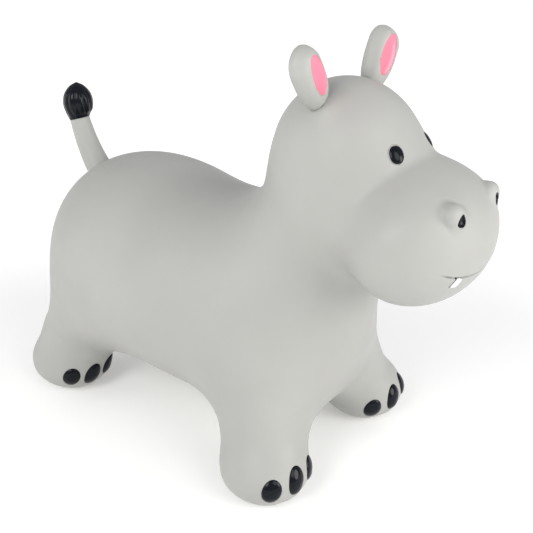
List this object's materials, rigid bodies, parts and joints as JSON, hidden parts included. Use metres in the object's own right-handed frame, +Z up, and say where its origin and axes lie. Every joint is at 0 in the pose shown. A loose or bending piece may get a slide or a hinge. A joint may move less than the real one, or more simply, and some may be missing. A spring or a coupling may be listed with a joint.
{
  "type": "bouncy ride-on animal",
  "caption": "Inflatable hippo-shaped bouncer that a small child sits on and holds by the ears, standing on short legs, with a raised tail and an air plug underneath.",
  "frame": {"origin": "on the floor, under the middle of the whole toy's box, which is also on its plane of symmetry", "axes": "+X the way the animal looks, from tail to muzzle; +Y towards the animal's left; +Z up"},
  "size_m": [0.5734, 0.2904, 0.4711],
  "materials": {
    "grey_skin": "soft satin PVC",
    "pink_gloss": "gloss",
    "black_gloss": "gloss",
    "white_trim": "satin",
    "clear_plug": "satin"
  },
  "bodies": {
    "body": {"body_shell": "grey_skin", "eye_left": "black_gloss", "eye_right": "black_gloss", "nostril_left": "black_gloss", "nostril_right": "black_gloss", "tooth_left": "white_trim", "tooth_right": "white_trim", "toenail_front_left_inner": "black_gloss", "toenail_front_left_middle": "black_gloss", "toenail_front_left_outer": "black_gloss", "toenail_front_right_inner": "black_gloss", "toenail_front_right_middle": "black_gloss", "toenail_front_right_outer": "black_gloss", "toenail_hind_left_inner": "black_gloss", "toenail_hind_left_middle": "black_gloss", "toenail_hind_left_outer": "black_gloss", "toenail_hind_right_inner": "black_gloss", "toenail_hind_right_middle": "black_gloss", "toenail_hind_right_outer": "black_gloss"},
    "plug": {"air_plug": "clear_plug"},
    "ear_left": {"ear_left": "grey_skin", "inner_ear_left": "pink_gloss"},
    "ear_right": {"ear_right": "grey_skin", "inner_ear_right": "pink_gloss"},
    "tail": {"tail_stem": "grey_skin", "tail_tuft": "black_gloss"}
  },
  "joints": [
    {"name": "air_plug_pull", "type": "slide", "parent": "body", "child": "plug", "axis": [0, 0, -1], "range_m": [0, 0.022]},
    {"name": "ear_left_flex", "type": "hinge", "parent": "body", "child": "ear_left", "pos_m": [0.12962, 0.042, 0.41499], "axis": [0, 1, 0], "range_deg": [-10, 10], "stiffness_Nm_per_rad": 1.5},
    {"name": "ear_right_flex", "type": "hinge", "parent": "body", "child": "ear_right", "pos_m": [0.12962, -0.042, 0.41499], "axis": [0, 1, 0], "range_deg": [-10, 10], "stiffness_Nm_per_rad": 1.5},
    {"name": "tail_flex", "type": "hinge", "parent": "body", "child": "tail", "pos_m": [-0.23738, 0, 0.2645], "axis": [0, 1, 0], "range_deg": [-10, 10], "stiffness_Nm_per_rad": 2}
  ]
}
